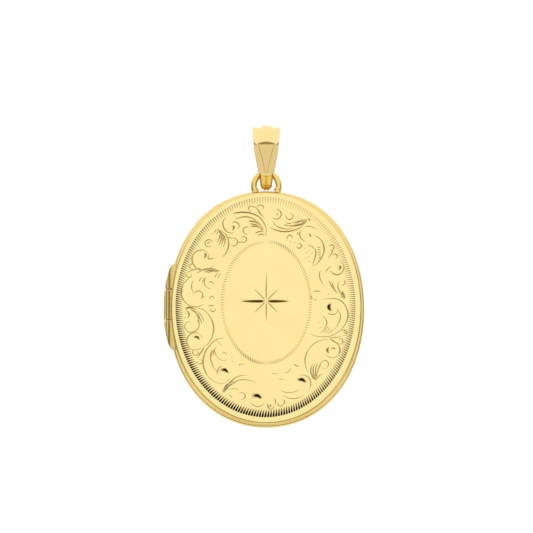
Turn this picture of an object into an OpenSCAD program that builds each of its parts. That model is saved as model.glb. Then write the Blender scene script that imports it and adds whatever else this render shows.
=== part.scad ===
// Oval photo locket: two domed covers on a three-knuckle side hinge, a photo
// compartment in each cover, a ring soldered on top and a leaf-shaped bail.
// Millimetres. The origin is the centre of the bail's chain eye, +Z is up,
// -Y is the front and +X is the side away from the hinge.

/* [Case] */
// Height of the case over its edge bead
case_h = 39.2; // [38:0.1:41]
// Width of the case over its edge bead
case_w = 32.3; // [31.5:0.1:33.5]
// Distance from the chain eye's centre down to the top of the case
case_drop = 8.1; // [8:0.1:9]
// Depth of the front cover, from the parting plane to the top of its dome
front_d = 2.9; // [2.85:0.05:3.2]
// Depth of the back cover, from the parting plane to its flat field
back_d = 3.5; // [3.45:0.05:3.8]
// How far the edge bead stands out beyond the covers
bead_out = 0.5; // [0.4:0.05:0.6]
// Thickness of the rolled sheet
sheet_t = 0.4; // [0.35:0.05:0.4]

/* [Hinge] */
// Height of the upper knuckle
upper_l = 4.05; // [3.8:0.05:4.4]
// Height of the middle knuckle
middle_l = 4.95; // [4.5:0.05:5.2]
// Height of the lower knuckle
lower_l = 4.7; // [4.4:0.05:5]
// Radius of the knuckles about the pin
knuckle_r = 1.75; // [1.7:0.01:1.75]
// How far the knuckles stand out beyond the edge bead
knuckle_out = 0.74; // [0.6:0.02:0.8]
// Diameter of the hinge pin
pin_d = 0.8; // [0.7:0.05:0.8]

/* [Photo compartments] */
// Height of the photo frames over their flange
frame_h = 31.8; // [31:0.1:31.8]
// Thickness of the clear windows
window_t = 0.22; // [0.2:0.01:0.24]
// Thickness of the blank photo cards
card_t = 0.2; // [0.15:0.05:0.2]

/* [Ring and bail] */
// Diameter of the ring's wire
ring_wire = 1.0; // [0.9:0.05:1]
// Diameter of the ring to the middle of its wire
ring_d = 4.12; // [4:0.02:4.2]
// Outer radius of the bail's roll, where the chain runs
bail_r = 2.65; // [2.6:0.05:2.7]
// Thickness of the bail's strip
bail_t = 0.4; // [0.35:0.05:0.4]
// Width of the bail across the top
bail_w = 4.8; // [4.6:0.1:5]
// Distance from the chain eye's centre down to the leaf's tip
leaf_drop = 5.78; // [5.7:0.02:5.8]
// Distance from the chain eye's centre down to the end of the tongue
tongue_drop = 7.93; // [7.9:0.01:7.95]

/* [Hidden] */

gold = [0.93, 0.82, 0.52];
red_gold = [0.90, 0.70, 0.36];
clear = [0.9, 0.93, 0.95, 0.35];
card = [0.95, 0.93, 0.87];

// An oval is a circle of the semi-height, narrowed along X by this ratio.
narrow = case_w / case_h;
case_r = case_h / 2;
case_z = -case_drop - case_r;
solder = 0.02;       // gap where two pieces are soldered
play = 0.1;          // gap where two pieces move past each other
parting = 0.05;      // half of the gap between the closed covers
front = 1;
back = -1;

// The ring stands on the edge bead, which lies just behind the parting plane,
// so the parting plane is in front of the ring's own plane.
bead_h = 1.0;
parting_y = -(parting + bead_h / 2);

// Radii are semi-heights; heights are distances from the parting plane.
wall_r = case_r - bead_out;
wall_in = wall_r - sheet_t;
front_wall_h = 1.35;
front_curve = 0.5;
back_wall_h = 1.5;
back_curve = 0.95;
field_rise = 0.05;   // dome that the back's flat field takes off
curve_end = 83;      // where the edge curve runs into the dome, in degrees

lip_r = wall_in - play;
lip_in = lip_r - sheet_t;
lip_h = 0.65;
lip_foot = 1.1;
catch_out = 0.14;
catch_h = 0.4;
catch_l = 5;

// Hinge. The pin is a straight chord just outside the bead where the hinge
// ends, and the knuckles are filed to a larger oval than the bead.
hinge_x = -15.15;
hinge_y = parting_y + 0.6;
hinge_mid = case_z + 0.2;
knuckle_gap = 0.12;
knuckle_flat = 0.85;
hinge_l = upper_l + middle_l + lower_l + 2 * knuckle_gap;
hinge_top = hinge_mid + hinge_l / 2;
hinge_low = hinge_mid - hinge_l / 2;
middle_top = hinge_top - upper_l - knuckle_gap;
middle_low = hinge_low + lower_l + knuckle_gap;
sweep_r = knuckle_r + play;
slot_x = hinge_x + knuckle_flat + 0.05;
end_room = 0.1;
pin_r = pin_d / 2;

// Photo compartments
frame_r = frame_h / 2;
frame_wall = frame_r - 0.4;
frame_wall_in = frame_wall - sheet_t;
frame_sight = frame_r - 1.7;
frame_d = 0.95;
plate_in = frame_wall + 0.05;
plate_t = 0.35;
flange_t = 0.28;
back_flange = 0.1;
front_flange = 0.5;
glazing_r = frame_wall_in - 0.05;

// Ring and bail
ring_r = ring_d / 2;
ring_z = -5.04 - ring_r;
eye_r = 1.15;
eye_z = -tongue_drop + eye_r;
leaf_low_r = eye_r + bail_t + solder;
crease_w = 4.14;
leaf_tip_r = 1.35;
tongue_top = -4.2;
tongue_w = 2.1;
tongue_end_w = 1.2;

far = 60;

// Points of an arc about c, from angle a to angle b.
function arc(c, r, a, b, n) =
    [for (i = [0:n]) c + r * [cos(a + (b - a) * i / n), sin(a + (b - a) * i / n)]];

// Profile of a cover from its edge to its centre, as [radius, height]:
// a straight wall, a quarter-round edge curve and a shallow dome.
function cover_line(r, wall_h, curve_r, top) =
    let (edge = arc([r - curve_r, wall_h], curve_r, 0, curve_end, 6),
        last = edge[len(edge) - 1],
        rise = top - last.y,
        dome_r = (last.x * last.x + rise * rise) / (2 * rise),
        n = 8)
    concat(edge, [for (i = [1:n]) let (x = last.x * (1 - i / n))
        [x, top - dome_r + sqrt(dome_r * dome_r - x * x)]]);

function flip(points) = [for (i = [len(points) - 1:-1:0]) points[i]];

// Outline of a strip wrapped round two circles, r1 at the origin and r2 below
// it by drop, as [y, z].
function drop_shape(r1, r2, drop) =
    let (lean = asin((r1 - r2) / drop))
    concat(arc([0, 0], r1, -lean, 180 + lean, 28),
        arc([0, -drop], r2, 180 + lean, 360 - lean, 14));

// Turns a profile into an oval piece whose face looks to the front or back,
// in four quarter turns.
module oval(side) {
    translate([0, parting_y, case_z])
        scale([narrow, 1, 1])
            rotate([side * 90, 0, 0])
                for (turn = [0:90:270])
                    rotate([0, 0, turn])
                        rotate_extrude(angle = 90, $fn = 120)
                            children();
}

// A flat oval plate between two heights.
module oval_plate(side, r, h_low, h_high) {
    translate([0, parting_y, case_z])
        rotate([side * 90, 0, 0])
            translate([0, 0, h_low])
                linear_extrude(h_high - h_low)
                    scale([narrow, 1]) circle(r = r, $fn = 120);
}

// An oval ring with a square section.
module oval_ring(side, r_in, r_out, h_low, h_high) {
    difference() {
        oval_plate(side, r_out, h_low, h_high);
        oval_plate(side, r_in, h_low - 1, h_high + 1);
    }
}

module cover_shell(side, wall_low, wall_h, curve_r, top) {
    outer = cover_line(wall_r, wall_h, curve_r, top);
    inner = cover_line(wall_in, wall_h, curve_r - sheet_t, top - sheet_t);
    oval(side)
        polygon(concat([[wall_r, wall_low]], outer, flip(inner), [[wall_in, wall_low]]));
}

// A cylinder about the hinge pin.
module about_pin(r, low, high) {
    translate([hinge_x, hinge_y, low]) cylinder(r = r, h = high - low, $fn = 64);
}

// The room that the knuckles need to turn in.
module hinge_sweep() {
    about_pin(sweep_r, hinge_low - end_room, hinge_top + end_room);
}

// The slot across the edge that the knuckles stand in.
module hinge_slot() {
    translate([-far, -far / 2, hinge_low - end_room])
        cube([far + slot_x, far, hinge_l + 2 * end_room]);
}

module knuckle(low, high, bore_r) {
    difference() {
        intersection() {
            about_pin(knuckle_r, low, high);
            oval_plate(back, case_r + knuckle_out / narrow, -5, 5);
            translate([-far, -far / 2, low - 1])
                cube([far + hinge_x + knuckle_flat, far, high - low + 2]);
        }
        about_pin(bore_r, low - 1, high + 1);
    }
}

// A strip under the covers, cut to sit against the knuckles.
module bearer(x_low, x_high, y_low, y_high, low, high) {
    translate([x_low, y_low, low]) cube([x_high - x_low, y_high - y_low, high - low]);
}

// Frame with a flange over the glazing and a wall that is pushed into the plate.
module photo_frame(side, flange) {
    oval_ring(side, frame_sight, frame_r, flange, flange + flange_t);
    oval_ring(side, frame_wall_in, frame_wall, flange, flange + frame_d);
}

module glazing(side, low, t) {
    oval_plate(side, glazing_r, low, low + t);
}

// Back cover: a stamped dome with a flat field to rest on.
module back_cover() color(gold) {
    difference() {
        cover_shell(back, parting, back_wall_h, back_curve, back_d + field_rise);
        translate([-far / 2, parting_y + back_d, case_z - far / 2]) cube([far, 5, far]);
        hinge_slot();
        hinge_sweep();
    }
}

// Edge bead: half-round wire soldered round the back cover's mouth.
module back_edge_bead() color(red_gold) {
    difference() {
        oval(back)
            polygon(concat([[wall_r + solder, parting]],
                [for (p = arc([0, 0], 1, -90, 90, 8))
                    [wall_r + 0.12 + (bead_out - 0.12) * p.x,
                        parting + bead_h / 2 * (1 + p.y)]],
                [[wall_r + solder, parting + bead_h]]));
        hinge_slot();
    }
}

// Lip ring: stands out of the back cover and into the front one.
module lip_ring() color(gold) {
    difference() {
        oval_ring(back, lip_in, lip_r, -lip_h, lip_foot);
        hinge_sweep();
    }
}

module catch_shape(grow) {
    intersection() {
        oval(front)
            polygon([[lip_r + solder - grow, catch_h - 0.2 - grow],
                [lip_r + catch_out + grow, catch_h - 0.06 - grow],
                [lip_r + catch_out + grow, catch_h + 0.06 + grow],
                [lip_r + solder - grow, catch_h + 0.2 + grow]]);
        translate([0, -far / 2, case_z - catch_l / 2 - grow])
            cube([far, far, catch_l + 2 * grow]);
    }
}

// Catch: a short bead on the lip that snaps into a groove in the front cover.
module catch_bead() color(gold) catch_shape(0);

module hinge_knuckle_upper() color(red_gold)
    knuckle(hinge_top - upper_l, hinge_top, pin_r + 0.01);

module hinge_knuckle_lower() color(red_gold)
    knuckle(hinge_low, hinge_low + lower_l, pin_r + 0.01);

module hinge_knuckle_middle() color(red_gold)
    knuckle(middle_low, middle_top, pin_r + 0.04);

module hinge_pin() color(gold)
    about_pin(pin_r, hinge_low - 0.04, hinge_top + 0.04);

// Bearer inside the back cover, which the outer knuckles are soldered to.
module hinge_bearer_back() color(gold) {
    difference() {
        bearer(slot_x + solder, slot_x + 1.35, parting_y + 0.85, parting_y + 1.9,
            hinge_low, hinge_top);
        about_pin(sweep_r, middle_low - knuckle_gap, middle_top + knuckle_gap);
    }
}

// Bearer inside the front cover, saddled onto the middle knuckle.
module hinge_bearer_front() color(gold) {
    difference() {
        bearer(hinge_x + 0.25, hinge_x + 1.6, parting_y - 1.35, parting_y - 0.75,
            middle_low, middle_top);
        about_pin(knuckle_r + solder, middle_low - 1, middle_top + 1);
    }
}

// Ring soldered upright on the edge bead, open where it meets the case.
module hanging_ring() color(red_gold) {
    difference() {
        translate([0, 0, ring_z])
            rotate([90, 0, 0])
                rotate_extrude($fn = 64)
                    translate([ring_r, 0]) circle(r = ring_wire / 2, $fn = 32);
        oval_plate(back, case_r + solder, -5, 5);
    }
}

// Inner plate: closes the space between the lip ring and the photo frame.
module back_inner_plate() color(gold) {
    difference() {
        oval_ring(back, plate_in, lip_in - 0.05, back_flange + flange_t + solder,
            back_flange + flange_t + solder + plate_t);
        hinge_sweep();
    }
}

module back_photo_frame() color(gold) photo_frame(back, back_flange);

module back_window() color(clear)
    glazing(back, back_flange + flange_t + solder, window_t);

module back_photo_card() color(card)
    glazing(back, back_flange + flange_t + 2 * solder + window_t, card_t);

// Front cover: a stamped dome with its edge curve; its face is engraved.
module front_cover() color(gold) {
    difference() {
        cover_shell(front, front_wall_h, front_wall_h, front_curve, front_d);
        hinge_sweep();
    }
}

// Edge band: the flat strip that makes the front cover's side wall.
module front_edge_band() color(red_gold) {
    difference() {
        oval_ring(front, wall_in, wall_r, parting, front_wall_h - solder);
        hinge_sweep();
        catch_shape(0.04);
    }
}

module front_inner_plate() color(gold) {
    low = front_flange + flange_t + solder;
    difference() {
        oval_ring(front, plate_in, wall_in - 0.05, low, low + plate_t);
        hinge_sweep();
        bearer(hinge_x - 1, hinge_x + 1.65, parting_y - 2, parting_y,
            middle_low - 0.05, middle_top + 0.05);
    }
}

module front_photo_frame() color(gold) photo_frame(front, front_flange);

module front_window() color(clear)
    glazing(front, front_flange + flange_t + solder, window_t);

module front_photo_card() color(card)
    glazing(front, front_flange + flange_t + 2 * solder + window_t, card_t);

// Cuts a strip to an outline seen from the front, given as [x, z] points of
// its right half.
module cut_to_outline(half) {
    intersection() {
        children();
        rotate([90, 0, 0])
            linear_extrude(far, center = true)
                polygon(concat(half, flip([for (p = half) [-p.x, p.y]])));
    }
}

module wrapped_strip(r1, r2, drop, t, w) {
    rotate([90, 0, 90])
        linear_extrude(w, center = true)
            difference() {
                polygon(drop_shape(r1, r2, drop));
                polygon(drop_shape(r1 - t, r2 - t, drop));
            }
}

// Leaf of the bail: the strip rolled over the chain eye, with a leaf in front
// and one behind.
module bail_leaf() color(gold) {
    tip = arc([0, -leaf_drop + leaf_tip_r], leaf_tip_r, -9, -80, 8);
    half = concat([[bail_w / 2, 3], [crease_w / 2, -0.5]], tip);
    cut_to_outline(half)
        wrapped_strip(bail_r, leaf_low_r, -eye_z, bail_t, bail_w + 1);
}

// Tongue of the bail: a narrow strip that closes the loop below the leaves and
// carries the ring.
module bail_tongue() color(red_gold) {
    half = [[tongue_w / 2, tongue_top], [tongue_w / 2, -leaf_drop - 0.2],
        [tongue_end_w / 2 + 0.1, -tongue_drop + 0.5], [tongue_end_w / 2, -tongue_drop - 1]];
    cut_to_outline(half)
        wrapped_strip(bail_r - bail_t - solder, eye_r, -eye_z, bail_t - 0.05, tongue_w + 1);
}

back_cover();
back_edge_bead();
lip_ring();
catch_bead();
hinge_knuckle_upper();
hinge_knuckle_lower();
hinge_bearer_back();
hinge_pin();
hanging_ring();
back_inner_plate();
back_photo_frame();
back_window();
back_photo_card();
front_cover();
front_edge_band();
front_inner_plate();
hinge_knuckle_middle();
hinge_bearer_front();
front_photo_frame();
front_window();
front_photo_card();
bail_leaf();
bail_tongue();
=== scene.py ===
import bmesh
import bpy
import numpy as np
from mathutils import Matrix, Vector
from mathutils.geometry import delaunay_2d_cdt


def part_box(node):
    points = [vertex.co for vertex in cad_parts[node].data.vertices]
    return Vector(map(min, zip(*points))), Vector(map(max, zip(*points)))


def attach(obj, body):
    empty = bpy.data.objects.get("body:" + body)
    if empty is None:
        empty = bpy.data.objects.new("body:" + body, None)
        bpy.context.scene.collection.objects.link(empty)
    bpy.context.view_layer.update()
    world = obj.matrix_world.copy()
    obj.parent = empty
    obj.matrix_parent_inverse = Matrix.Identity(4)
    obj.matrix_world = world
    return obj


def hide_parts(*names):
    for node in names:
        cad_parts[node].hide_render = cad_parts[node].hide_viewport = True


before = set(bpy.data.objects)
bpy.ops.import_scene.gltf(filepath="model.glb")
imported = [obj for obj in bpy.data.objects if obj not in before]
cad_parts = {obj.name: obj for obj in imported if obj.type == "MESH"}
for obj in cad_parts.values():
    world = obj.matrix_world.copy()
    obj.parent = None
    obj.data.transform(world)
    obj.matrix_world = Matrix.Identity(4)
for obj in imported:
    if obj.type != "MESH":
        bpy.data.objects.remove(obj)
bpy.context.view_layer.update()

# ------------------------------------------------------------------ back cover
# The back is a dome stamped from gold-filled brass sheet 0.4 mm thick, with a
# small flat field to rest on. Its wall is slotted where the hinge sits.
mm = 0.001
bead_low, bead_high = (np.array(corner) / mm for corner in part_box("back_edge_bead"))
case_half_w = bead_high[0]
case_half_h = (bead_high[2] - bead_low[2]) / 2
case_z = (bead_high[2] + bead_low[2]) / 2
bead_gap = 0.05
parting_y = bead_low[1] - bead_gap
bead_out = 0.5
sheet = 0.4


def surface(name, points, loop_u=True, loop_v=False, caps=False):
    """A mesh over a grid of points [u, v], in mm, with one face for each cell.

    loop_u and loop_v join the last row or column to the first. caps closes the
    first and last rows with one face each.
    """
    rows, cols = points.shape[:2]
    index = np.arange(rows * cols).reshape(rows, cols)
    if loop_u:
        index = np.concatenate([index, index[:1]], axis=0)
    if loop_v:
        index = np.concatenate([index, index[:, :1]], axis=1)
    quads = np.stack([index[:-1, :-1], index[1:, :-1], index[1:, 1:], index[:-1, 1:]], axis=-1)
    faces = quads.reshape(-1, 4).tolist()
    if caps:
        first, last = index[0, :cols], index[rows - 1, :cols]
        faces += [first.tolist(), last[::-1].tolist()]
    mesh = bpy.data.meshes.new(name)
    mesh.from_pydata((points.reshape(-1, 3) * mm).tolist(), [], faces)
    return mesh


def weld(mesh):
    """Merges points that coincide and turns the faces outwards."""
    work = bmesh.new()
    work.from_mesh(mesh)
    bmesh.ops.remove_doubles(work, verts=work.verts, dist=1e-8)
    bmesh.ops.dissolve_degenerate(work, edges=work.edges, dist=1e-9)
    bmesh.ops.recalc_face_normals(work, faces=work.faces)
    work.to_mesh(mesh)
    work.free()


def finish_piece(name, mesh, body, material, node_names, sharp=30.0):
    """Welds a mesh, smooths it below the sharp angle in degrees, and gives it its
    finish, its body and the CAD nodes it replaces."""
    weld(mesh)
    mesh.shade_smooth()
    mesh.set_sharp_from_angle(angle=np.radians(sharp))
    mesh.materials.clear()
    mesh.materials.append(material)
    piece = bpy.data.objects.new(name, mesh)
    bpy.context.collection.objects.link(piece)
    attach(piece, body)
    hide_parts(*node_names)
    return piece


def linear(hex_colour):
    """Turns an sRGB hex colour into the linear colour that a shader takes."""
    values = np.array([int(hex_colour[i:i + 2], 16) for i in (1, 3, 5)]) / 255
    straight = np.where(values <= 0.04045, values / 12.92, ((values + 0.055) / 1.055) ** 2.4)
    return (*straight.tolist(), 1.0)


def put(tree, kind, settings=None, **sockets):
    """Adds a node, sets its properties, and fills or links its named sockets."""
    node = tree.nodes.new(kind)
    for key, value in (settings or {}).items():
        setattr(node, key, value)
    for key, value in sockets.items():
        socket = node.inputs[int(key[1:])] if key[1:].isdigit() else node.inputs[key.replace("_", " ")]
        if isinstance(value, bpy.types.NodeSocket):
            tree.links.new(value, socket)
        else:
            socket.default_value = value
    return node


def blank_material(name):
    """A material with no shader yet, its node tree and its Object coordinates."""
    material = bpy.data.materials.new(name)
    material.use_nodes = True
    tree = material.node_tree
    tree.nodes.clear()
    return material, tree, put(tree, "ShaderNodeTexCoord").outputs["Object"]


def polished_gold(name, pale, deep, roughness, marks, residue=None):
    """Gold alloy buffed on a wheel: pale and deep are its lightest and warmest tones.

    The colour drifts slowly over 5 mm, buffing leaves hairlines about 0.12 mm apart,
    which is as fine as shows, and the sheet has a faint waviness 4 mm across. marks
    is the strength of the hairlines. residue is the tone of the polish left in cuts,
    whose depth in mm the cut attribute holds: it is fullest 0.12 mm down. With a
    residue the cuts are also painted black from 0.25 mm down, fading in from 0.13 mm,
    as painted shade in the deep cuts.
    """
    material, tree, place = blank_material(name)
    drift = put(tree, "ShaderNodeTexNoise", Vector=place, Scale=1 / (5 * mm), Detail=2.0)
    tone = put(tree, "ShaderNodeMapRange", Value=drift.outputs["Fac"], From_Min=0.2, From_Max=0.8)
    colour = put(tree, "ShaderNodeMix", {"data_type": "RGBA"}, _0=tone.outputs["Result"],
                 _6=linear(pale), _7=linear(deep)).outputs[2]
    if residue:
        cut = put(tree, "ShaderNodeAttribute", {"attribute_name": "cut"}).outputs["Fac"]
        film = put(tree, "ShaderNodeMapRange", Value=cut, From_Max=0.12, To_Max=0.8)
        colour = put(tree, "ShaderNodeMix", {"data_type": "RGBA"}, _0=film.outputs["Result"],
                     _6=colour, _7=linear(residue)).outputs[2]
        # Painted shade: cuts deeper than 0.13 mm are painted towards near-black #1A1811, fully from
        # 0.25 mm down
        packed = put(tree, "ShaderNodeMapRange", Value=cut, From_Min=0.13, From_Max=0.25)
        colour = put(tree, "ShaderNodeMix", {"data_type": "RGBA"}, _0=packed.outputs["Result"],
                     _6=colour, _7=linear("#1A1811")).outputs[2]
    hair_place = put(tree, "ShaderNodeMapping", Vector=place, Scale=(1.0, 1.0, 0.12))
    hair = put(tree, "ShaderNodeTexNoise", Vector=hair_place.outputs["Vector"],
               Scale=1 / (0.12 * mm), Detail=3.0, Roughness=0.7)
    shine = put(tree, "ShaderNodeMapRange", Value=hair.outputs["Fac"], From_Min=0.3, From_Max=0.8,
                To_Min=roughness * 0.8, To_Max=roughness * 1.5)
    wave = put(tree, "ShaderNodeTexNoise", Vector=place, Scale=1 / (4 * mm), Detail=1.0)
    soft = put(tree, "ShaderNodeBump", Height=wave.outputs["Fac"], Strength=0.35, Distance=0.02 * mm)
    lines = put(tree, "ShaderNodeBump", Height=hair.outputs["Fac"], Strength=marks,
                Distance=0.002 * mm, Normal=soft.outputs["Normal"])
    shader = put(tree, "ShaderNodeBsdfPrincipled", Base_Color=colour, Metallic=1.0,
                 Roughness=shine.outputs["Result"], Normal=lines.outputs["Normal"])
    put(tree, "ShaderNodeOutputMaterial", Surface=shader.outputs["BSDF"])
    return material


def fuller(x, z):
    """Moves the case's outermost zone out by up to 0.45 mm at the diagonals, where the
    stamped outline is a little fuller than a true oval. Nothing moves inside 93%."""
    still, zone_w, top_gain, foot_gain = 0.93, 0.07, 0.024, 0.017
    rho = np.hypot(x / case_half_w, (z - case_z) / case_half_h)
    t = np.arctan2((z - case_z) / case_half_h, x / case_half_w)
    zone = np.clip((rho - still) / zone_w, 0, 1)
    gain = np.where(z > case_z, top_gain, foot_gain) * np.sin(2 * t) ** 2
    grow = 1 + gain * zone ** 2 * (3 - 2 * zone)
    return x * grow, case_z + (z - case_z) * grow


def ovals(half_w, half_h, height, turns, side):
    """Rings of the case: x = half_w cos t, z = half_h sin t, at each height in front of
    (side 1) or behind (side -1) the parting plane. Indexed [turn, ring]."""
    t = np.linspace(0, 2 * np.pi, turns, endpoint=False)[:, None]
    x = np.cos(t) * half_w
    x, z = fuller(x, np.sin(t) * half_h + case_z)
    y = np.broadcast_to(parting_y - side * np.asarray(height), x.shape)
    return np.stack([x, y, z], axis=-1)


edge_rings = 9


def cover_rings(edge_inset, wall_low, wall_h, curve, top, field=0.0):
    """Half-widths, half-heights and heights of a cover's outside, edge to middle.

    The wall stands straight, the edge turns through 83 degrees with the radius curve,
    and the dome is a parabola that rises from there to top. field is how much of
    the dome a flat field takes off.
    """
    turn = np.radians(np.linspace(0, 83, edge_rings))
    inset = edge_inset + curve * (1 - np.cos(turn))
    height = wall_h + curve * np.sin(turn)
    inset = np.concatenate([[edge_inset], inset])
    height = np.concatenate([[wall_low], height])
    rho = np.linspace(1, 0, 25)[1:]
    rise = top - height[-1]
    dome = np.minimum(top - rise * rho ** 2, top - field)
    half_w = np.concatenate([case_half_w - inset, (case_half_w - inset[-1]) * rho])
    half_h = np.concatenate([case_half_h - inset, (case_half_h - inset[-1]) * rho])
    return half_w, half_h, np.concatenate([height, dome])


gold_face = polished_gold("buffed_pale_gold", "#FBE7A4", "#F7DF97", 0.10, 0.5)
back_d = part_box("back_cover")[1][1] / mm - parting_y
field_rise, back_wall, curve_out, curve_in = 0.05, 1.5, 0.95, 0.55
back_top = back_d + field_rise
outside = cover_rings(bead_out, bead_gap, back_wall, curve_out, back_top, field_rise)
inside = cover_rings(bead_out + sheet, bead_gap, back_wall, curve_in, back_top - sheet)
rings = [np.concatenate([a, b[::-1]]) for a, b in zip(outside, inside)]
hinge_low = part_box("hinge_knuckle_lower")[0][2] / mm
hinge_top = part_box("hinge_knuckle_upper")[1][2] / mm
slot_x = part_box("hinge_knuckle_middle")[1][0] / mm + 0.05
hinge_room = 0.1


def cut_hinge_slot(mesh):
    """Cuts the slot that the knuckles stand in: a box across the left edge, which
    reaches well past the case to the left, the front and the back."""
    past_left, past_front, past_back = -20.0, parting_y - 0.5, 8.0
    low = np.array([past_left, past_front, hinge_low - hinge_room])
    high = np.array([slot_x, past_back, hinge_top + hinge_room])
    box = bmesh.new()
    bmesh.ops.create_cube(box, size=1.0)
    for vertex in box.verts:
        vertex.co = Vector((low + (high - low) * (np.array(vertex.co) + 0.5)) * mm)
    tool_mesh = bpy.data.meshes.new("slot_tool")
    box.to_mesh(tool_mesh)
    box.free()
    tool = bpy.data.objects.new("slot_tool", tool_mesh)
    blank = bpy.data.objects.new("slot_blank", mesh)
    for item in (tool, blank):
        bpy.context.collection.objects.link(item)
    cut = blank.modifiers.new("slot", "BOOLEAN")
    cut.operation = "DIFFERENCE"
    cut.solver = "EXACT"
    cut.object = tool
    bpy.context.view_layer.update()
    result = bpy.data.meshes.new_from_object(
        blank.evaluated_get(bpy.context.evaluated_depsgraph_get()))
    for item in (blank, tool):
        bpy.data.objects.remove(item)
    return result


back_mesh = surface("back_cover_sheet", ovals(*rings, 320, -1), loop_v=True)
weld(back_mesh)
finish_piece("back_cover_dome", cut_hinge_slot(back_mesh), "case", gold_face,
             ["back_cover"])

# ---------------------------------------------------------- bead and edge band
# Half-round gold wire is soldered round the back cover's mouth, and a flat strip
# makes the front cover's wall. Both stop short of the hinge.
gold_edge = polished_gold("buffed_deep_gold", "#F3D98C", "#EFD07C", 0.24, 0.6)


def edge_strip(section, side, turns=420):
    """A section [inset, height] carried round the oval, from the hinge's top round to
    its foot. Each point of the section stops at the same level."""
    inset, height = section.T
    half_h = case_half_h - inset
    top_end = np.pi - np.arcsin((hinge_top + hinge_room - case_z) / half_h)
    low_end = -np.pi - np.arcsin((hinge_low - hinge_room - case_z) / half_h)
    share = np.linspace(0, 1, turns)[:, None]
    t = top_end + (low_end - top_end) * share
    x = np.cos(t) * (case_half_w - inset)
    x, z = fuller(x, np.sin(t) * half_h + case_z)
    y = np.broadcast_to(parting_y - side * height, x.shape)
    return np.stack([x, y, z], axis=-1)


bead_h, bead_full = 1.0, 0.8
bead_deep, bead_foot = bead_out - 0.10, bead_out + 0.02
bow = np.radians(np.linspace(-90, 90, 15))
bead_section = np.stack([
    bead_deep - bead_deep * np.cos(bow) ** bead_full,
    bead_gap + bead_h / 2 * (1 + np.sin(bow))], axis=-1)
bead_section = np.concatenate([[[bead_foot, bead_gap]], bead_section,
                               [[bead_foot, bead_gap + bead_h]]])
bead_mesh = surface("edge_bead_wire", edge_strip(bead_section, -1), loop_u=False,
                    loop_v=True, caps=True)
finish_piece("edge_bead_wire", bead_mesh, "case", gold_edge, ["back_edge_bead"])

band_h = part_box("front_cover")[1][1] / mm
seam, thinning, ease_in, ease_up = 0.01, 0.1, 0.04, 0.05
band_top = parting_y - band_h - seam
band_in = bead_out + sheet - thinning
band_section = np.array([[band_in, bead_gap], [bead_out + ease_in, bead_gap],
                         [bead_out, bead_gap + ease_up], [bead_out, band_top],
                         [band_in, band_top]])
band_mesh = surface("front_wall_band", edge_strip(band_section, 1), loop_u=False,
                    loop_v=True, caps=True)
finish_piece("front_wall_band", band_mesh, "cover", gold_edge, ["front_edge_band"])

# ----------------------------------------------------------------- front cover
# The front is a dome stamped from the same sheet and engraved by hand: a border
# of bright cuts, scrolls and leaves, an oval of small cuts round a plain
# cartouche, and an eight-armed star. Every cut is a true groove in the metal.
front_top = parting_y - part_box("front_cover")[0][1] / mm
wall_top = band_top + seam
upright, edge_round = 0.15, 0.35
upright_in, edge_round_in = 0.05, 0.1
front_rings = cover_rings(bead_out, wall_top, wall_top + upright, edge_round, front_top)
dome_w, dome_h, dome_low = (ring[edge_rings] for ring in front_rings)
dome_rise = front_top - dome_low
cuts = []


def closed_ends(count):
    """One for every point of a cut but its two ends, which lie at the surface."""
    return np.concatenate([[0.0], np.ones(count - 2), [0.0]])


def carve(points, width, peak=0.4, depth=0.75):
    """Adds a V-shaped cut along points [u, v] in mm from the middle of the case.

    Its width swells like a sine to the power fullness, from its least to full at
    peak, a share of its length, and dies away to the end. depth is the groove's
    depth over half its width, and a bold cut goes a quarter deeper.
    """
    fit, fullness, least, bold = 0.99, 0.55, 0.012, 0.4
    points = np.asarray(points, float) * fit
    step = np.linalg.norm(np.diff(points, axis=0), axis=1)
    run = np.concatenate([[0], np.cumsum(step)])
    share = run / run[-1]
    swell = np.where(share < peak, np.sin(np.pi / 2 * share / peak),
                     np.cos(np.pi / 2 * (share - peak) / (1 - peak)))
    half = (width / 2 + least / 2) * np.clip(swell, 0, 1) ** fullness + least
    depth *= 1.25 if width > bold else 1.0
    cuts.append((points, half, half * depth * closed_ends(len(points)), 0.0))


def turn(u, v, r0, r1, a0, a1, width, peak=0.4):
    """A volute: an arc about (u, v) whose radius runs evenly from r0 to r1 as its angle
    runs from a0 to a1, in degrees. It has a point every 12 degrees or so, and more of
    them on a wide arc."""
    wide = max(0.6, (r0 + r1) / 2) ** 0.5
    count = max(4, int(abs(a1 - a0) / 12 * wide))
    angle = np.radians(np.linspace(a0, a1, count + 1))
    radius = np.linspace(r0, r1, count + 1)
    carve(np.stack([u + radius * np.cos(angle), v + radius * np.sin(angle)], axis=-1),
          width, peak)


def sweep(width, *points, peak=0.4):
    """A flowing cut through a few points, on a Catmull-Rom curve."""
    p = np.array(points, float)
    p = np.concatenate([[2 * p[0] - p[1]], p, [2 * p[-1] - p[-2]]])
    t = np.linspace(0, 1, 6, endpoint=False)[:, None, None]
    a, b, c, d = p[:-3], p[1:-2], p[2:-1], p[3:]
    curve = 0.5 * (2 * b + (c - a) * t + (2 * a - 5 * b + 4 * c - d) * t ** 2
                   + (3 * b - a - 3 * c + d) * t ** 3)
    curve = curve.transpose(1, 0, 2).reshape(-1, 2)
    carve(np.concatenate([curve, p[-2:-1]]), width, peak)


def leaf(u, v, aim, spread, length, count, width, bend=20.0):
    """A tuft of leaf veins from one tip, fanned over spread degrees about aim. The
    middle ones are longest, and each bends evenly by bend degrees."""
    outer_short, first_step, peak = 0.35, 0.12, 0.3
    for share in np.linspace(-1, 1, count):
        way = np.radians(aim + share * spread / 2 + np.linspace(0, bend, 6))
        run = length * (1 - outer_short * share ** 2) / 5
        steps = np.stack([np.cos(way), np.sin(way)], axis=-1)[:-1] * run
        start = np.array([[u, v]]) + first_step * steps[:1]
        carve(np.concatenate([start, start + np.cumsum(steps, axis=0)]), width, peak)


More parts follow.
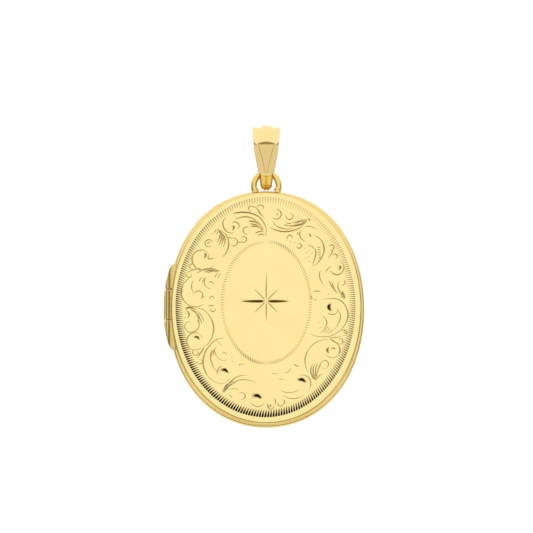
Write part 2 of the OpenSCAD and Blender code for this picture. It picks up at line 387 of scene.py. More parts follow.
def dots(width, *places):
    """Pricks of the graver's point, each a short cut."""
    for u, v in places:
        carve([[u - 0.12, v - 0.05], [u, v], [u + 0.12, v + 0.03]], width, 0.5)


# Upper left: a C-scroll, its volutes and the veins that run in to the top centre
turn(-5.65, 13.76, 1.6, 1.5, 128, 285, 0.2)
sweep(0.26, (-5.65, 15.6), (-3.85, 15.8), (-2.2, 15.5), (-0.9, 14.7), (-0.1, 13.2), (0.0, 11.7),
      peak=0.15)
sweep(0.2, (-5.25, 14.65), (-3.85, 15.0), (-2.6, 14.85), (-1.3, 14.0), (-0.3, 12.6), peak=0.3)
turn(-5.2, 13.4, 0.8, 0.65, 130, -50, 0.18)
turn(-5.8, 13.15, 0.42, 0.42, 70, -70, 0.34)
turn(-3.2, 12.65, 0.68, 0.6, 50, 300, 0.17)
sweep(0.24, (-3.05, 14.35), (-1.7, 14.05), (-0.4, 13.1), peak=0.2)
sweep(0.22, (-2.75, 13.85), (-1.55, 13.55), (-0.4, 12.7), peak=0.2)
sweep(0.2, (-2.65, 13.35), (-1.4, 13.3), (-0.4, 12.4), peak=0.2)
sweep(0.2, (-1.9, 12.2), (-0.9, 12.55), (-0.2, 12.3), peak=0.3)
sweep(0.2, (-1.4, 11.85), (-0.7, 12.05), (-0.1, 11.8), peak=0.3)
turn(-2.55, 16.4, 0.46, 0.4, 20, 300, 0.17)
sweep(0.15, (-2.5, 16.85), (-1.75, 16.6), (-1.1, 15.8), (-0.45, 15.0))
turn(-1.0, 16.5, 0.57, 0.5, -30, 190, 0.17)
sweep(0.16, (-1.5, 16.5), (-1.3, 15.8), (-0.5, 15.0), (-0.3, 14.6))
turn(-5.45, 10.65, 0.8, 0.5, 110, -160, 0.17)
sweep(0.15, (-6.6, 11.6), (-6.1, 11.5), (-5.6, 11.4))
turn(-3.75, 11.2, 0.55, 0.42, -120, 160, 0.17)
sweep(0.15, (-4.7, 10.75), (-4.3, 10.7), (-3.9, 10.72))

# Left, above the middle: a leaf, a small volute and a large one
turn(-8.95, 10.35, 2.75, 2.7, 66, -54, 0.2, 0.7)
sweep(0.28, (-8.2, 13.1), (-7.5, 12.3), (-7.15, 11.3), (-7.45, 10.2), peak=0.35)
sweep(0.22, (-8.1, 12.9), (-7.6, 12.0), (-7.5, 11.1), (-7.95, 10.1), peak=0.35)
sweep(0.2, (-7.6, 12.5), (-6.95, 11.6), (-6.85, 10.7), (-7.15, 9.8), peak=0.35)
sweep(0.17, (-7.7, 12.1), (-7.8, 11.4), (-8.2, 10.6), peak=0.3)
sweep(0.16, (-8.25, 12.95), (-8.5, 12.5), (-8.6, 12.2))
sweep(0.14, (-8.0, 12.7), (-8.15, 12.25), (-8.2, 11.9))
turn(-9.55, 10.5, 0.72, 0.5, 20, 330, 0.18)
turn(-9.55, 10.5, 0.24, 0.15, 0, 250, 0.14)
dots(0.16, (-9.05, 12.2))
turn(-10.6, 8.05, 2.2, 1.15, -28, -345, 0.2)
sweep(0.18, (-9.4, 8.6), (-9.6, 7.95), (-8.5, 8.05))
turn(-10.55, 8.5, 0.52, 0.48, 65, -70, 0.34)
turn(-12.3, 6.65, 0.5, 0.38, 60, 290, 0.16)
turn(-12.8, 5.3, 0.46, 0.4, 150, 400, 0.16)
sweep(0.16, (-10.7, 6.4), (-12.2, 6.1), (-13.2, 5.6))

# Left, at the middle
sweep(0.2, (-11.6, 5.5), (-10.2, 6.2), (-8.8, 6.25), (-7.6, 5.85))
sweep(0.26, (-10.4, 5.7), (-9.1, 6.05), (-7.6, 5.9), peak=0.6)
sweep(0.2, (-9.9, 5.55), (-8.9, 5.85), (-7.8, 5.75), peak=0.6)
turn(-11.55, 2.4, 2.6, 2.4, 112, 305, 0.2)
sweep(0.15, (-12.15, 4.45), (-12.35, 3.2), (-11.95, 2.0))
turn(-11.15, 1.85, 0.8, 0.6, 160, -60, 0.18)
turn(-10.85, 1.65, 0.38, 0.38, 50, -60, 0.22)
turn(-9.2, 4.0, 1.1, 1.0, 128, 275, 0.16)
turn(-9.15, 3.7, 0.45, 0.4, 140, -30, 0.15)
for u, v in ((-11.1, 4.15), (-10.55, 4.05), (-8.5, 4.8), (-8.0, 4.7)):
    sweep(0.16, (u, v), (u + 0.22, v + 0.45), (u + 0.5, v + 0.8))
turn(-8.95, 1.3, 0.38, 0.35, 200, -20, 0.15)
turn(-8.95, -0.6, 0.8, 0.8, 145, 55, 0.15)
turn(-8.8, -0.45, 0.46, 0.36, 150, 400, 0.15)

# Left, below the middle: a leaf whose edge runs down into a large volute
sweep(0.34, (-13.35, -0.5), (-13.0, -0.2), (-12.3, -0.2), (-11.5, -0.6), peak=0.35)
sweep(0.26, (-12.6, -0.3), (-11.2, -1.5), (-11.3, -2.7), peak=0.35)
sweep(0.22, (-12.0, -0.4), (-10.95, -2.0), (-10.6, -2.95), peak=0.4)
sweep(0.18, (-11.4, -0.6), (-10.5, -1.9), (-10.3, -2.6))
sweep(0.16, (-11.6, -1.2), (-11.15, -2.2), (-11.1, -3.1))
sweep(0.26, (-13.2, -0.5), (-12.75, -1.3), (-12.9, -1.95), peak=0.3)
dots(0.18, (-13.4, -1.8), (-13.25, -1.1))
sweep(0.19, (-11.8, -0.1), (-10.3, -0.6), (-9.2, -1.85), (-8.65, -3.5), (-8.95, -5.1),
      (-9.6, -6.2), (-10.6, -6.8))
turn(-11.7, -5.65, 1.55, 1.25, -45, -345, 0.19)
sweep(0.44, (-11.9, -5.05), (-11.4, -4.98), (-11.0, -5.5))
turn(-12.55, -3.05, 1.65, 0.45, 42, -298, 0.17)
turn(-11.6, -7.6, 0.55, 0.35, 120, 440, 0.17)
turn(-10.9, -9.05, 0.5, 0.33, 160, 480, 0.17)
sweep(0.2, (-10.15, -6.7), (-10.9, -7.8), (-11.4, -8.6))

# Lower left: the largest C-scroll, with a leaf inside it
sweep(0.19, (-6.75, -5.2), (-8.0, -5.4), (-8.95, -6.1), (-9.9, -7.25), (-10.35, -8.55),
      (-10.3, -9.9), (-9.7, -11.3), (-8.7, -12.25), (-7.55, -12.7), (-6.6, -12.45), (-6.0, -11.85))
turn(-6.9, -10.9, 1.2, 1.15, 195, 95, 0.16)
sweep(0.62, (-7.3, -10.5), (-6.8, -10.4), (-6.25, -10.9))
sweep(0.16, (-9.15, -7.5), (-9.2, -8.4), (-8.75, -9.8), (-7.9, -11.2))
sweep(0.16, (-8.25, -6.55), (-8.5, -7.45), (-7.9, -8.5), (-7.0, -8.95), (-6.45, -8.7))
turn(-6.9, -7.95, 0.35, 0.3, 160, -20, 0.15)
sweep(0.14, (-8.9, -7.1), (-9.05, -7.7), (-9.0, -8.4))
sweep(0.14, (-8.6, -7.0), (-8.75, -7.5), (-8.65, -8.2))
sweep(0.13, (-8.2, -5.5), (-7.8, -6.0), (-7.2, -6.5))
dots(0.15, (-5.65, -8.4), (-5.55, -9.1), (-2.4, -9.1))
sweep(0.15, (-4.6, -9.8), (-4.15, -9.5), (-3.5, -9.7))

# Foot, left: a dark plume and a bold crescent
sweep(0.2, (-7.0, -13.9), (-6.05, -12.65), (-5.0, -11.7), (-3.9, -11.35), (-2.9, -11.35))
sweep(0.2, (-6.8, -13.6), (-5.8, -12.8), (-4.7, -12.2), (-3.6, -12.05), (-2.35, -12.25),
      (-1.5, -12.7))
sweep(0.3, (-7.15, -14.2), (-6.5, -12.95), (-5.2, -12.2), peak=0.35)
sweep(0.3, (-7.05, -14.25), (-6.2, -13.15), (-4.9, -12.45), peak=0.35)
leaf(-7.15, -14.25, 62, 30, 1.9, 3, 0.18, -20)
sweep(0.16, (-6.15, -13.65), (-5.25, -13.5), (-4.25, -13.8))
sweep(0.17, (-6.05, -14.45), (-5.85, -14.7), (-5.7, -15.0))
turn(-4.0, -14.75, 0.62, 0.5, 150, -140, 0.16)
sweep(0.7, (-2.05, -14.75), (-1.45, -14.62), (-0.8, -15.1))
turn(-1.4, -15.25, 1.2, 1.2, 205, 335, 0.2)

# Foot, right: a pair of small leaves, long arcs and a bold crescent
sweep(0.22, (0.25, -15.95), (0.35, -16.6), (0.8, -16.9), (1.35, -16.3))
sweep(0.18, (0.75, -16.0), (0.65, -16.3), (0.7, -16.65))
sweep(0.18, (1.75, -15.8), (2.25, -16.4), (2.85, -16.0), (3.0, -15.45), (2.5, -15.35))
sweep(0.14, (1.4, -15.0), (1.5, -15.5), (1.45, -16.2))
sweep(0.66, (5.3, -12.1), (5.9, -12.0), (6.5, -12.45))
turn(5.9, -12.75, 1.5, 1.4, 115, -50, 0.17)
sweep(0.17, (2.25, -13.75), (3.35, -14.15), (4.6, -14.05), (5.6, -13.55))
sweep(0.19, (2.65, -14.6), (3.9, -15.1), (5.25, -15.05), (6.45, -14.4))
sweep(0.15, (2.0, -11.9), (2.5, -12.0), (3.0, -11.95))
sweep(0.14, (0.9, -11.0), (1.4, -11.1), (1.9, -11.05))
sweep(0.18, (4.45, -9.45), (4.95, -9.8), (5.6, -9.9))
sweep(0.16, (2.9, -10.9), (3.6, -10.8), (4.15, -10.2))

# Lower right: a leaf, and a C-scroll that ends in a large volute
sweep(0.17, (10.45, -5.4), (9.1, -5.55), (7.8, -6.2), (6.8, -7.35), (6.35, -8.8), (6.6, -10.2),
      (7.1, -11.1))
turn(10.8, -7.2, 1.4, 1.2, 78, -150, 0.19)
turn(10.6, -7.25, 0.62, 0.5, 115, 250, 0.36)
turn(11.0, -7.2, 0.36, 0.36, 160, 10, 0.26)
sweep(0.2, (8.1, -12.1), (7.5, -11.3), (7.3, -10.4), (7.65, -9.4), peak=0.3)
sweep(0.18, (8.15, -12.0), (7.8, -11.2), (7.7, -10.2), (8.15, -9.2), peak=0.3)
sweep(0.16, (8.2, -11.9), (8.1, -11.0), (8.15, -10.0), (8.6, -9.1), peak=0.3)
sweep(0.17, (8.15, -12.1), (8.4, -10.8), (8.85, -9.65), (9.5, -8.85), (10.2, -9.3), (9.95, -10.1),
      (9.3, -10.25), (9.0, -9.8))
sweep(0.22, (8.2, -12.1), (8.75, -11.35), (9.4, -11.15))
sweep(0.26, (8.15, -12.2), (7.65, -11.6), (7.35, -10.7))

# Right, below the middle: a C-scroll round a bold crescent, and two curls
sweep(0.62, (10.6, 0.45), (10.32, 0.05), (10.4, -0.35), (10.75, -0.65))
turn(10.95, -0.4, 1.0, 0.85, 215, 375, 0.17)
sweep(0.19, (9.3, 1.2), (10.75, 1.35), (11.85, 1.2), (12.75, 0.6), (13.35, -0.5), (13.45, -1.7),
      (12.95, -3.05), (11.85, -4.2), (10.45, -4.9), (9.1, -5.0), (8.0, -4.85), (7.0, -4.4))
sweep(0.16, (11.85, -0.5), (12.25, -1.45), (12.0, -2.65), (11.3, -3.7), (10.45, -4.45))
sweep(0.15, (9.2, -1.45), (9.8, -2.05), (9.95, -2.95), (9.4, -3.9), (8.7, -4.6))
sweep(0.16, (10.9, -3.7), (10.5, -4.2), (10.0, -4.5))
sweep(0.15, (10.55, -3.35), (10.1, -4.0), (9.5, -4.45))
sweep(0.15, (10.2, -3.2), (9.8, -3.8), (9.25, -4.25))
dots(0.16, (8.7, -2.6), (9.0, -3.4))
turn(12.8, -4.35, 0.52, 0.4, 160, -120, 0.18)
turn(12.8, -4.35, 0.16, 0.12, 160, -120, 0.14)
turn(12.15, -5.7, 0.52, 0.36, -120, 160, 0.18)
sweep(0.2, (10.45, -5.35), (11.2, -5.8), (12.0, -6.15))
sweep(0.17, (10.2, -5.2), (11.35, -5.1), (12.4, -4.95))

# Right, above the middle: a leaf and a volute
turn(11.7, 6.5, 1.2, 1.15, 195, 430, 0.2)
turn(11.85, 6.5, 0.42, 0.42, 60, -70, 0.38)
sweep(0.18, (9.8, 5.65), (10.2, 6.3), (10.8, 6.75))
sweep(0.15, (8.95, 6.1), (8.8, 4.9), (9.5, 3.35))
sweep(0.19, (10.3, 4.45), (10.9, 3.2), (11.7, 2.1))
sweep(0.17, (10.8, 4.2), (11.2, 3.05), (11.9, 2.1))
sweep(0.2, (12.0, 4.25), (11.85, 3.2), (12.4, 2.1), (13.0, 1.3), peak=0.6)
sweep(0.17, (12.9, 4.45), (13.05, 3.9), (12.45, 3.5))
sweep(0.26, (12.6, 2.7), (12.7, 2.0), (13.0, 1.3), peak=0.6)
leaf(13.0, 1.25, 125, 50, 1.6, 4, 0.15, -14)
dots(0.2, (10.3, 2.05))
sweep(0.16, (7.7, 2.5), (8.3, 2.55), (9.0, 2.45))
sweep(0.16, (7.3, 1.9), (7.45, 1.5), (7.6, 1.1))
sweep(0.16, (7.85, 1.0), (8.1, 1.1), (8.3, 1.35))
turn(10.8, 9.9, 0.5, 0.38, -120, 180, 0.18)
sweep(0.18, (11.3, 9.9), (10.9, 8.95), (10.25, 8.0))
turn(11.4, 8.35, 0.46, 0.34, 160, -100, 0.18)

# Upper right: a C-scroll with pricked ground inside it
turn(6.7, 12.0, 1.2, 1.1, 135, 262, 0.2)
turn(6.9, 11.75, 0.42, 0.42, 75, -35, 0.26)
sweep(0.13, (6.35, 13.3), (7.45, 13.4), (8.55, 12.85))
sweep(0.22, (7.75, 12.0), (8.85, 11.4), (9.45, 10.4), (9.55, 9.1), (9.0, 7.85), (8.3, 7.05),
      (7.6, 6.7), peak=0.6)
sweep(0.2, (6.75, 10.25), (7.6, 10.0), (8.2, 9.15), (8.0, 7.8), (7.6, 6.85), peak=0.7)
for step in range(6):
    sweep(0.14, (8.45 + 0.06 * step, 10.0 - 0.42 * step), (8.75, 9.85 - 0.42 * step),
          (9.1, 9.9 - 0.42 * step))
dots(0.16, (6.65, 8.95), (7.6, 8.95), (7.0, 8.3), (6.5, 8.0), (7.2, 7.5), (6.35, 9.75), (7.1, 9.3))
turn(3.95, 11.45, 0.52, 0.36, 210, -20, 0.18)
dots(0.15, (4.05, 10.8), (4.7, 10.65))
sweep(0.17, (5.15, 12.4), (5.25, 12.2), (5.25, 11.95))
turn(5.45, 10.15, 0.5, 0.32, -170, 140, 0.18)

# Top right: a volute and a long leaf with a dark tip
turn(1.65, 15.4, 0.9, 0.75, 100, -150, 0.19)
turn(1.55, 15.5, 0.32, 0.3, 60, -60, 0.17)
sweep(0.22, (0.45, 13.3), (1.45, 12.8), (2.8, 12.5), (4.3, 12.65), (5.65, 13.2), (6.5, 14.0))
sweep(0.16, (0.95, 14.35), (1.75, 13.4), (3.2, 12.95), (4.65, 13.1))
sweep(0.32, (6.9, 14.3), (5.8, 13.75), (4.6, 13.5), (3.6, 13.5), peak=0.4)
sweep(0.24, (6.9, 14.5), (5.3, 14.2), (4.2, 14.0), peak=0.4)
leaf(7.05, 14.55, 200, 34, 2.6, 4, 0.14, 10)
sweep(0.16, (4.2, 13.9), (3.7, 13.9), (3.2, 14.05))
sweep(0.16, (3.7, 13.5), (3.3, 13.55), (2.9, 13.7))
turn(3.95, 15.2, 0.75, 0.42, 170, 450, 0.17)
dots(0.16, (5.25, 15.0), (5.9, 14.8))
sweep(0.22, (6.95, 14.85), (7.15, 14.5), (7.2, 14.15))

# The border's bright cuts stand all round the edge, each bent a little, fine at the
# inner end and broad at the rim. They are closest at the sides, and cut deepest at the
# foot, a little to the left. Each array runs along one cut, from its inner end
border_low, border_high = 16.9, 18.1
border_aside, border_rise = -0.14, 0.1
border_pitch, closer_beside, deepest_at = 0.405, 0.045, np.radians(248)
border_bend = np.array([0.012, 0.007, 0.001, -0.002, -0.003])
border_width = np.array([0.2, 0.55, 0.9, 1.0, 0.85])
border_depth = np.array([0.0, 0.45, 0.85, 1.0, 0.0])
border_flat = 0.6
rim_w = case_half_w - case_half_h + 0.07


def oval_spot(radius, angle):
    """The point [u, v] at an angle on the oval whose semi-height is radius."""
    return np.stack([(radius + rim_w) * np.cos(angle) + border_aside,
                     radius * np.sin(angle) + border_rise], axis=-1)


even = np.linspace(0, 2 * np.pi, 4001)
pitch = border_pitch - closer_beside * np.cos(2 * even)
run = np.cumsum(np.linalg.norm(np.diff(oval_spot(border_high, even), axis=0), axis=1) / pitch[1:])
border_cuts = int(run[-1])
radii = np.array([border_low, border_low + 0.3, border_high - 0.4, border_high - 0.1, border_high])
for angle in np.interp((np.arange(border_cuts) + 0.5) / border_cuts, run / run[-1], even[1:]):
    # Where firm is greatest, at the foot, the cuts go deep enough for the material to paint them
    # near-black as painted shade
    firm = 0.5 + 0.5 * np.cos(angle - deepest_at)
    room = np.interp(angle, even, pitch)
    cuts.append((oval_spot(radii, border_bend * (0.3 + firm) + angle),
                 border_width * room * (0.21 + 0.19 * firm),
                 border_depth * (0.05 + 0.27 * firm), border_flat))

# An oval of small slanting cuts frames the plain cartouche, deepest at its sides
ring_u, ring_v, ring_w, ring_h, ring_cuts = 0.0, 0.7, 7.15, 9.95, 146
ring_slant, ring_reach, ring_deep = 0.45, 0.45, 0.085
for angle in 2 * np.pi * np.arange(ring_cuts) / ring_cuts:
    way = np.array([np.cos(angle), np.sin(angle)])
    middle = np.array([ring_u, ring_v]) + np.array([ring_w, ring_h]) * way
    across = way + ring_slant * np.array([-way[1], way[0]])
    across /= np.linalg.norm(across)
    points = middle + np.array([[-ring_reach], [0.1], [ring_reach]]) * across
    firm = 0.4 + 0.6 * abs(np.cos(angle))
    cuts.append((points, np.array([0.025, 0.085, 0.05]), np.array([0.0, ring_deep * firm, 0.0]),
                 0.0))

# The star: four long arms and four short ones, each a tapered V cut that starts a
# little way out from the middle
star_u, star_v, star_open, star_peak = 0.0, 0.87, 0.12, 0.22
for aim, length, width in ((180, 4.3, 0.56), (0, 3.9, 0.56), (90, 4.8, 0.15), (270, 3.4, 0.15),
                           (45, 2.9, 0.2), (135, 2.9, 0.2), (225, 2.9, 0.2), (315, 2.9, 0.2)):
    way = np.array([np.cos(np.radians(aim)), np.sin(np.radians(aim))])
    arm = np.linspace(star_open, length, 7)[:, None] * way
    carve(np.array([star_u, star_v]) + arm, width, star_peak)


def ribbon(points, half):
    """The two edges of a cut: its line moved half its width to each side."""
    ahead = np.gradient(points, axis=0)
    ahead /= np.linalg.norm(ahead, axis=1, keepdims=True)
    aside = np.stack([-ahead[:, 1], ahead[:, 0]], axis=-1) * half[:, None]
    return points + aside, points - aside


def off_line(spots, points, half):
    """How far each spot lies from each stretch of a cut's line, how far along that
    stretch as a share, and the cut's half width there."""
    start, along = points[:-1], np.diff(points, axis=0)
    offset = spots[:, None] - start[None]
    share = np.clip((offset * along).sum(-1) / (along ** 2).sum(-1), 0, 1)
    gap = np.linalg.norm(offset - share[..., None] * along, axis=-1)
    return gap, share, half[:-1] + share * np.diff(half)


def within(spots, points, reach):
    """The spots in the box round a cut's line, widened by reach."""
    return np.flatnonzero(((spots > points.min(axis=0) - reach)
                           & (spots < points.max(axis=0) + reach)).all(axis=1))


def clear_of_cuts(spots, margin=0.06):
    """True for the spots that lie more than the margin outside every cut."""
    free = np.ones(len(spots), dtype=bool)
    for points, half, _, _ in cuts:
        near = within(spots, points, half.max() + margin)
        gap, _, width = off_line(spots[near], points, half)
        free[near[(gap < width + margin).any(axis=1)]] = False
    return free


def flat_net(rim):
    """A constrained triangulation of the dome's plan: its rim, a loose net of points
    in staggered rows, and the edges of every cut and of its flat floor, or its
    middle line where it has none."""
    space, net_w, net_h = 0.55, 15.5, 19.0
    spots, lines, count = [rim], [], len(rim)
    lines.append(np.stack([np.arange(count), np.roll(np.arange(count), -1)], axis=-1))
    net = np.stack(np.meshgrid(np.arange(-net_w, net_w + 0.1, space),
                               np.arange(-net_h, net_h + 0.1, space)), axis=-1).reshape(-1, 2)
    net[:, 0] += 0.27 * (np.round(net[:, 1] / space) % 2)
    net = net[(((net / rim.max(axis=0)) ** 2).sum(axis=1) < 0.97) & clear_of_cuts(net)]
    spots.append(net)
    count += len(net)
    for points, half, _, flat in cuts:
        left, right = ribbon(points, half)
        outline = np.concatenate([left, right[::-1]])
        inner = [side[1:-1] for side in ribbon(points, half * flat)] if flat else [points]
        for row, closed in [(side, False) for side in inner] + [(outline, True)]:
            index = np.arange(len(row)) + count
            ends = np.roll(index, -1) if closed else index[1:]
            lines.append(np.stack([index if closed else index[:-1], ends], axis=-1))
            spots.append(row)
            count += len(row)
    result = delaunay_2d_cdt(np.concatenate(spots).tolist(), np.concatenate(lines).tolist(),
                             [], 0, 1e-4, False)
    spots = np.array([tuple(v) for v in result[0]])
    faces = np.array([f for f in result[2] if len(f) == 3])
    middle = spots[faces].mean(axis=1)
    inside = ((middle / rim.max(axis=0)) ** 2).sum(axis=1) < 1.0
    return spots, faces[inside]


def groove_depth(spots):
    """How deep each point lies in the cuts: full on a cut's middle line or flat floor,
    falling evenly to nothing at its edges. Where cuts cross, the deeper one wins,
    and none goes deeper than the sheet allows."""
    deepest = 0.33
    depth = np.zeros(len(spots))
    for points, half, deep, flat in cuts:
        near = within(spots, points, half.max() + 0.02)
        gap, share, width = off_line(spots[near], points, half)
        floor = deep[:-1] + share * np.diff(deep)
        value = floor * np.clip((1 - gap / np.maximum(width, 1e-4)) / (1 - flat), 0, 1)
        depth[near] = np.maximum(depth[near], value.max(axis=1))
    return np.minimum(depth, deepest)


def dome_height(spots):
    """Height of the uncut dome at each point [u, v], and its slope along each axis."""
    rho2 = (spots[:, 0] / dome_w) ** 2 + (spots[:, 1] / dome_h) ** 2
    slope = -2 * dome_rise * spots / np.array([dome_w ** 2, dome_h ** 2])
    return front_top - dome_rise * rho2, slope


rim_turns = 420
rim_angle = np.linspace(0, 2 * np.pi, rim_turns, endpoint=False)
rim = np.stack([dome_w * np.cos(rim_angle), dome_h * np.sin(rim_angle)], axis=-1)
spots, triangles = flat_net(rim)
depth = groove_depth(spots)
level, slope = dome_height(spots)
face_x, face_z = fuller(spots[:, 0], spots[:, 1] + case_z)
face_points = np.stack([face_x, parting_y - level + depth, face_z], axis=-1)

shell_in = cover_rings(bead_out + sheet, wall_top, wall_top + upright_in, edge_round_in,
                       front_top - sheet)
shell = [np.concatenate([a[edge_rings::-1], b]) for a, b in zip(front_rings, shell_in)]
shell_points = ovals(*shell, rim_turns, 1)
shell_rows, shell_cols = shell_points.shape[:2]
grid = np.arange(shell_rows * shell_cols).reshape(shell_rows, shell_cols) + len(face_points)
after = np.roll(grid, -1, axis=0)
quads = np.stack([grid[:, :-1], grid[:, 1:], after[:, 1:], after[:, :-1]], axis=-1).reshape(-1, 4)
cover_mesh = bpy.data.meshes.new("engraved_front")
all_points = np.concatenate([face_points, shell_points.reshape(-1, 3)])
cover_mesh.from_pydata((all_points * mm).tolist(), [], triangles.tolist() + quads.tolist())
shade = cover_mesh.attributes.new("cut", "FLOAT", "POINT")
shade.data.foreach_set("value", np.concatenate([depth, np.zeros(shell_rows * shell_cols)]))
# The widest cuts, the bold crescents and the star's two wide arms, and the border cuts at the foot lie
# deep enough to be painted near-black: painted shade
gold_cut = polished_gold("engraved_pale_gold", "#FBE7A4", "#F9E29C", 0.09, 0.4, residue="#8C8664")
engraved = finish_piece("engraved_front", cover_mesh, "cover", gold_cut, ["front_cover"],
                        sharp=25.0)
engraved.data.materials.append(gold_edge)


def read(items, key, each=1, kind=float):
    """The value of every item in a mesh's list, or a row of as many as each says."""
    values = np.empty(len(items) * each, dtype=kind)
    items.foreach_get(key, values)
    return values.reshape(-1, each) if each > 1 else values


sides = read(engraved.data.polygons, "loop_total", kind=int)
engraved.data.polygons.foreach_set("material_index", (sides == 4).astype(int))


def set_bright_normals(mesh):
    """The buffed dome gets the true slope of its curve, and each cut keeps the flat
    facets that the graver leaves."""
    uncut, turned_front, past_rim = 0.002, -0.2, 0.3
    place = read(mesh.vertices, "co", 3) / mm
    normals = read(mesh.corner_normals, "vector", 3)
    corner = read(mesh.loops, "vertex_index", kind=int)
    loops_on_face = read(mesh.polygons, "loop_total", kind=int)
    owner = np.repeat(np.arange(len(mesh.polygons)), loops_on_face)
    slope = dome_height(place[:, [0, 2]] - [0, case_z])[1]
    on_dome = read(mesh.attributes["cut"].data, "value") < uncut
    face_on = np.ones(len(mesh.polygons), dtype=bool)
    np.logical_and.at(face_on, owner, on_dome[corner])
    true = np.stack([-slope[:, 0], -np.ones(len(slope)), -slope[:, 1]], axis=-1)
    true /= np.linalg.norm(true, axis=1, keepdims=True)
    facet = read(mesh.polygons, "normal", 3)[owner]
    front = facet[:, 1] < turned_front
    front &= place[corner, 1] < parting_y - dome_low + past_rim
    front &= np.repeat(loops_on_face < 4, loops_on_face)
    normals = np.where((front & face_on[owner])[:, None], true[corner], normals)
    normals = np.where((front & ~face_on[owner])[:, None], facet, normals)
    mesh.normals_split_custom_set(normals.tolist())


set_bright_normals(engraved.data)

# -------------------------------------------------------------- hinge knuckles
# Three lengths of drawn gold tube turn on one pin: the outer two are soldered to
# the back, the middle one to the front. A filed line carries the bead on past them.
pin_low, pin_high = (np.array(corner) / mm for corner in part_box("hinge_pin"))
pin_x, pin_y = (pin_low + pin_high)[:2] / 2
tube_r = (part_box("hinge_knuckle_middle")[1][1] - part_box("hinge_knuckle_middle")[0][1]) / 2 / mm
bore_r = 0.45
knuckle_out = -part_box("hinge_knuckle_middle")[0][0] / mm - case_half_w
line_at, line_spread, line_deep = 233.5, 3.4, 0.18
end_fade, end_taper, oval_share = 0.7, 0.4, 0.824
knuckle_turns = 144
gold_hinge = polished_gold("worn_hinge_gold", "#E6CC82", "#D6B968", 0.2, 1.0)


def knuckle(name, node, body):
    """A tube about the pin, with eased ends and a filed line on its front. It is cut
    flat towards the case, and filed outside to an oval that tapers to the hinge's ends."""
    low, high = (corner[2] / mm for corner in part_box(node))
    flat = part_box(node)[1][0] / mm
    angle = np.linspace(0, 2 * np.pi, knuckle_turns, endpoint=False)[:, None]
    line = np.exp(-((np.degrees(angle) - line_at) / line_spread) ** 2)
    into = np.array([0.0, 0.04, 0.14, 0.35, 0.7, 1.2])
    ease = np.array([0.14, 0.05, 0.0, 0.0, 0.0, 0.0])
    ease = np.concatenate([ease, ease[::-1]])[None]
    z = np.broadcast_to(np.concatenate([low + into, high - into[::-1]]),
                        (knuckle_turns, 2 * len(into)))
    radius = tube_r - ease - line_deep * line
    x, y = pin_x + radius * np.cos(angle), pin_y + radius * np.sin(angle)
    reach = (case_half_w + knuckle_out) * np.sqrt(
        1 - ((z - case_z) / (case_half_h + knuckle_out / oval_share)) ** 2)
    taper = np.exp((z - hinge_top) / end_fade) + np.exp((hinge_low - z) / end_fade)
    x = np.clip(x, -reach + ease + end_taper * taper, flat - ease)
    tube = np.stack([x, y, z], axis=-1)
    bore = np.stack([pin_x + bore_r * np.cos(angle) * np.ones((1, 2)),
                     pin_y + bore_r * np.sin(angle) * np.ones((1, 2)),
                     np.broadcast_to([[high, low]], (knuckle_turns, 2))], axis=-1)
    mesh = surface(name, np.concatenate([tube, bore], axis=1), loop_v=True)
    finish_piece(name, mesh, body, gold_hinge, [node], sharp=40.0)


knuckle("hinge_tube_upper", "hinge_knuckle_upper", "case")
knuckle("hinge_tube_lower", "hinge_knuckle_lower", "case")
knuckle("hinge_tube_middle", "hinge_knuckle_middle", "cover")

# ---------------------------------------------------------------- hanging ring
# A ring of round gold wire stands on the case's top edge in the plane of the bead.
# Its two feet are filed to the bead and flooded with solder.
gold_wire = polished_gold("buffed_ring_gold", "#F2D684", "#EBC866", 0.1, 0.5)
ring_low, ring_high = (np.array(corner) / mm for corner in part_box("hanging_ring"))
wire_r = (ring_high[1] - ring_low[1]) / 2
ring_r = ring_high[0] - wire_r
ring_z = ring_high[2] - wire_r - ring_r
foot = np.radians(36)
solder_swell, solder_from, solder_fade = 0.34, 0.1, 0.28
filed, sunk = 0.92, 0.12
ring_turn = np.linspace(-foot, np.pi + foot, 97)[:, None]
wire_turn = np.linspace(0, 2 * np.pi, 40, endpoint=False)[None]
to_foot = np.minimum(ring_turn + foot, np.pi + foot - ring_turn) * ring_r
swollen = wire_r + solder_swell * np.exp(-np.maximum(to_foot - solder_from, 0) / solder_fade)
out = ring_r + swollen * np.cos(wire_turn)
ring_points = np.stack([out * np.cos(ring_turn), swollen * np.sin(wire_turn) * filed,
                        ring_z + out * np.sin(ring_turn)], axis=-1)
bead_under = np.sqrt(1 - (ring_points[..., 0] / case_half_w) ** 2)
ring_points[..., 2] = np.maximum(ring_points[..., 2],
                                 case_z + (case_half_h - sunk) * bead_under)
ring_mesh = surface("soldered_ring", ring_points, loop_u=False, loop_v=True, caps=True)
finish_piece("soldered_ring", ring_mesh, "case", gold_wire, ["hanging_ring"])

# ------------------------------------------------------------------- bail leaf
# The bail is cut from sheet with two long tips. Its top is pressed up into three ribs,
# each tip is creased across and bevelled round its edge, and the whole is rolled over
# into a loop that the tips hang down from.
leaf_low, leaf_high = (np.array(corner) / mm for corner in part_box("bail_leaf"))
bail_r = leaf_high[2]
tip_z = leaf_low[2]
tongue_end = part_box("bail_tongue")[0][2] / mm
eye_r, bail_t, leaf_tip_r = 1.15, 0.4, 1.35
crease_z, crease_w, top_z, top_w = -0.5, 4.14, 3.0, 4.8
eye_z = tongue_end + eye_r


